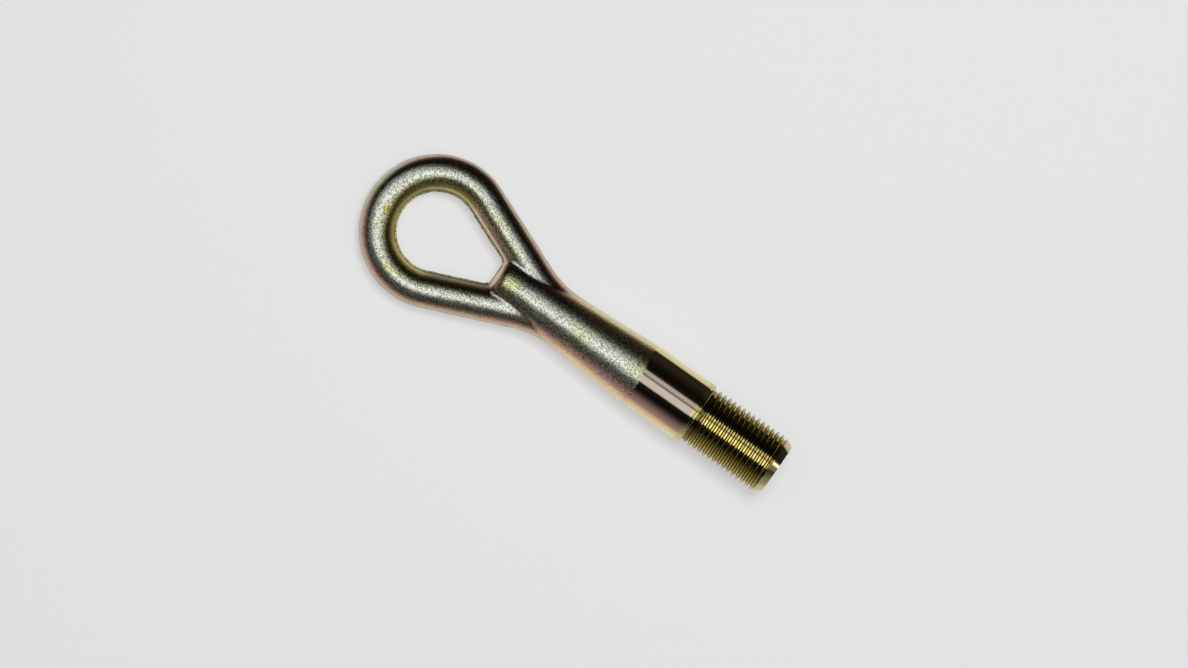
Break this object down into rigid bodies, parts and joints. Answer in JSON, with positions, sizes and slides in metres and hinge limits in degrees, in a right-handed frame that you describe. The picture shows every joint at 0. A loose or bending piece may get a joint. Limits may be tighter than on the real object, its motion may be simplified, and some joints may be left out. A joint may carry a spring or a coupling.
{
  "type": "tow eye",
  "caption": "Screw-in tow eye: a forged teardrop eye on a tapering shank, with a smooth turned seat and a coarse threaded end.",
  "frame": {"origin": "centre of the round end of the eye, on the shank's axis and in the parting plane", "axes": "+X along the shank towards the threaded end, +Z square to the plane of the eye, Y across the eye"},
  "size_m": [0.1692, 0.0532, 0.0232],
  "materials": {
    "passivated_steel": "zinc plated and yellow passivated, grainy where forged and smooth where turned"
  },
  "bodies": {
    "root": {"tow_eye": "passivated_steel"}
  },
  "joints": []
}
